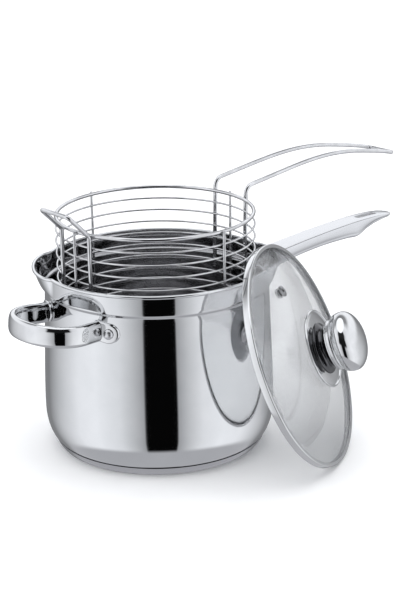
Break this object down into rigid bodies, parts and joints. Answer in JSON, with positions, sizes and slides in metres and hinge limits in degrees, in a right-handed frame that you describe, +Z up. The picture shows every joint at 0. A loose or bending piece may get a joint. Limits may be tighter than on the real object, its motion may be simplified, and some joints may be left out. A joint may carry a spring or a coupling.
{
  "type": "deep fry pot",
  "caption": "Deep steel fry pot with two pouring lips, a long handle, a small side handle, a lift-out wire basket and a glass lid that leans on the pot.",
  "frame": {"origin": "centre of the pot's flat underside, on the floor that the pot and the lid stand on", "axes": "+X along the long handle, away from the pot; -X towards the small side handle; +Z up; the lid leans on the pot's side that faces -Y and +X"},
  "size_m": [0.4952, 0.3146, 0.2559],
  "materials": {
    "pot_steel": "mirror-polished stainless steel",
    "base_aluminium": "plain aluminium, closed in by the steel cap",
    "base_steel": "satin stainless steel",
    "side_handle_steel": "mirror-polished stainless steel tube and plate",
    "rivet_steel": "polished stainless steel rivets",
    "handle_steel": "satin stainless steel",
    "ferrule_steel": "mirror-polished stainless steel",
    "basket_wire": "bright round wire",
    "lid_glass": "clear toughened glass with a light grey tint",
    "lid_steel": "polished stainless steel",
    "knob_steel": "mirror-polished stainless steel",
    "knob_seal": "grey silicone washer",
    "knob_insert": "dark heat-proof moulding inside the knob"
  },
  "bodies": {
    "pot": {"pot_body": "pot_steel", "base_core": "base_aluminium", "base_cap": "base_steel", "side_handle_tube": "side_handle_steel", "side_handle_lug_front": "side_handle_steel", "side_handle_lug_rear": "side_handle_steel", "side_handle_rivet_front": "rivet_steel", "side_handle_rivet_rear": "rivet_steel", "long_handle": "handle_steel", "long_handle_ferrule": "ferrule_steel", "long_handle_rivet_front": "rivet_steel", "long_handle_rivet_rear": "rivet_steel"},
    "basket": {"basket_rim": "basket_wire", "basket_side_ring_01": "basket_wire", "basket_side_ring_02": "basket_wire", "basket_side_ring_03": "basket_wire", "basket_side_ring_04": "basket_wire", "basket_side_ring_05": "basket_wire", "basket_side_ring_06": "basket_wire", "basket_side_ring_07": "basket_wire", "basket_side_ring_08": "basket_wire", "basket_side_ring_09": "basket_wire", "basket_side_ring_10": "basket_wire", "basket_side_ring_11": "basket_wire", "basket_side_ring_12": "basket_wire", "basket_side_ring_13": "basket_wire", "basket_side_ring_14": "basket_wire", "basket_side_ring_15": "basket_wire", "basket_side_ring_16": "basket_wire", "basket_side_ring_17": "basket_wire", "basket_floor_ring_1": "basket_wire", "basket_floor_ring_2": "basket_wire", "basket_floor_ring_3": "basket_wire", "basket_floor_ring_4": "basket_wire", "basket_floor_ring_5": "basket_wire", "basket_floor_ring_6": "basket_wire", "basket_floor_ring_7": "basket_wire", "basket_rib_1": "basket_wire", "basket_rib_2": "basket_wire", "basket_rib_3": "basket_wire", "basket_rib_4": "basket_wire", "basket_hook": "basket_wire", "basket_handle": "basket_wire"},
    "lid": {"lid_glass": "lid_glass", "lid_band": "lid_steel", "lid_vent_eyelet": "lid_steel", "knob_seal": "knob_seal", "knob_flange": "knob_steel", "knob_stem": "knob_steel", "knob_collar": "knob_steel", "knob_shell": "knob_steel", "knob_insert": "knob_insert", "knob_washer": "lid_steel", "knob_screw": "lid_steel"}
  },
  "joints": [
    {"name": "basket_lift", "type": "slide", "parent": "pot", "child": "basket", "axis": [0, 0, 1], "range_m": [0, 0.24]},
    {"name": "lid_pull", "type": "slide", "parent": "pot", "child": "lid", "axis": [0.4584, -0.8037, 0.3795], "range_m": [0, 0.15]}
  ]
}
